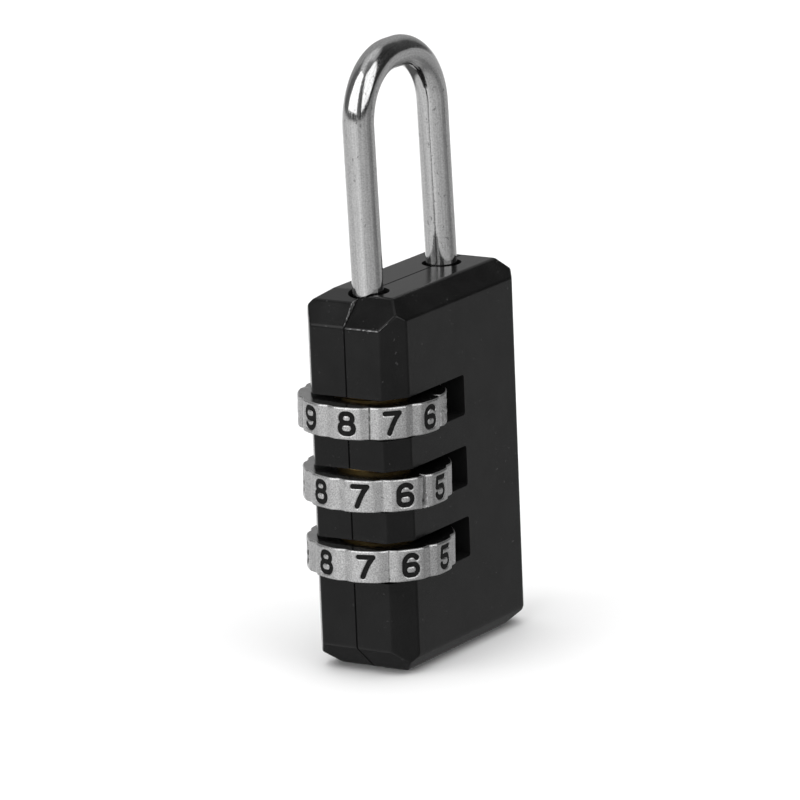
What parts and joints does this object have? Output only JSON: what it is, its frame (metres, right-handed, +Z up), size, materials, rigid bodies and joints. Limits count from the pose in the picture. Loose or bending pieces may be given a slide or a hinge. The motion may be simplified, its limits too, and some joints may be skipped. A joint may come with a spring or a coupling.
{
  "type": "luggage combination padlock",
  "caption": "Small resettable combination padlock for luggage zips: black chamfered body, bright number dials on one edge and a tall chromed shackle",
  "frame": {"origin": "middle of the flat bottom face of the body, on the seam between the half shells", "axes": "+Z up along the shackle, X across the width with the dials at -X, Y through the thickness with the front half shell at -Y"},
  "size_m": [0.0263, 0.014, 0.0591],
  "materials": {
    "body_black": "semi-gloss black paint on die-cast zinc",
    "shackle_chrome": "bright chrome, lightly drawn along the wire",
    "dial_metal": "satin nickel plate on die-cast zinc",
    "numeral_ink": "black paint wiped into the engraving",
    "sleeve_brass": "plain turned brass",
    "inner_steel": "plain spring steel and steel pins"
  },
  "bodies": {
    "housing": {"front_shell": "body_black", "rear_shell": "body_black", "assembly_pins": "inner_steel", "detent_spring": "inner_steel", "reset_spring": "inner_steel"},
    "shackle": {"shackle": "shackle_chrome"},
    "dial_top": {"dial_top": "dial_metal", "numerals_top": "numeral_ink"},
    "dial_middle": {"dial_middle": "dial_metal", "numerals_middle": "numeral_ink"},
    "dial_bottom": {"dial_bottom": "dial_metal", "numerals_bottom": "numeral_ink"},
    "sleeve_top": {"sleeve_top": "sleeve_brass"},
    "sleeve_middle": {"sleeve_middle": "sleeve_brass"},
    "sleeve_bottom": {"sleeve_bottom": "sleeve_brass"},
    "spring_seat": {"spring_seat": "inner_steel"}
  },
  "joints": [
    {"name": "shackle_lift", "type": "slide", "parent": "housing", "child": "shackle", "axis": [0, 0, 1], "range_m": [0, 0.00688]},
    {"name": "dial_top_spin", "type": "hinge", "parent": "housing", "child": "dial_top", "pos_m": [-0.00735, 0, 0.025], "axis": [0, 0, 1], "continuous": true},
    {"name": "dial_middle_spin", "type": "hinge", "parent": "housing", "child": "dial_middle", "pos_m": [-0.00735, 0, 0.01812], "axis": [0, 0, 1], "continuous": true, "deforming": ["detent_spring"]},
    {"name": "dial_bottom_spin", "type": "hinge", "parent": "housing", "child": "dial_bottom", "pos_m": [-0.00735, 0, 0.01124], "axis": [0, 0, 1], "continuous": true},
    {"name": "reset_slide", "type": "slide", "parent": "dial_top", "child": "sleeve_top", "axis": [0, 0, 1], "range_m": [-0.0015, 0], "stiffness_N_per_m": 400, "springref_m": 0.003, "deforming": ["reset_spring"]},
    {"name": "reset_middle", "type": "slide", "parent": "dial_middle", "child": "sleeve_middle", "axis": [0, 0, 1], "range_m": [-0.0015, 0]},
    {"name": "reset_bottom", "type": "slide", "parent": "dial_bottom", "child": "sleeve_bottom", "axis": [0, 0, 1], "range_m": [-0.0015, 0]},
    {"name": "seat_slide", "type": "slide", "parent": "housing", "child": "spring_seat", "axis": [0, 0, 1], "range_m": [-0.0015, 0]}
  ],
  "couplings": [
    {"joint": "reset_middle", "follows": "reset_slide", "ratio": 1},
    {"joint": "reset_bottom", "follows": "reset_slide", "ratio": 1},
    {"joint": "seat_slide", "follows": "reset_slide", "ratio": 1}
  ]
}
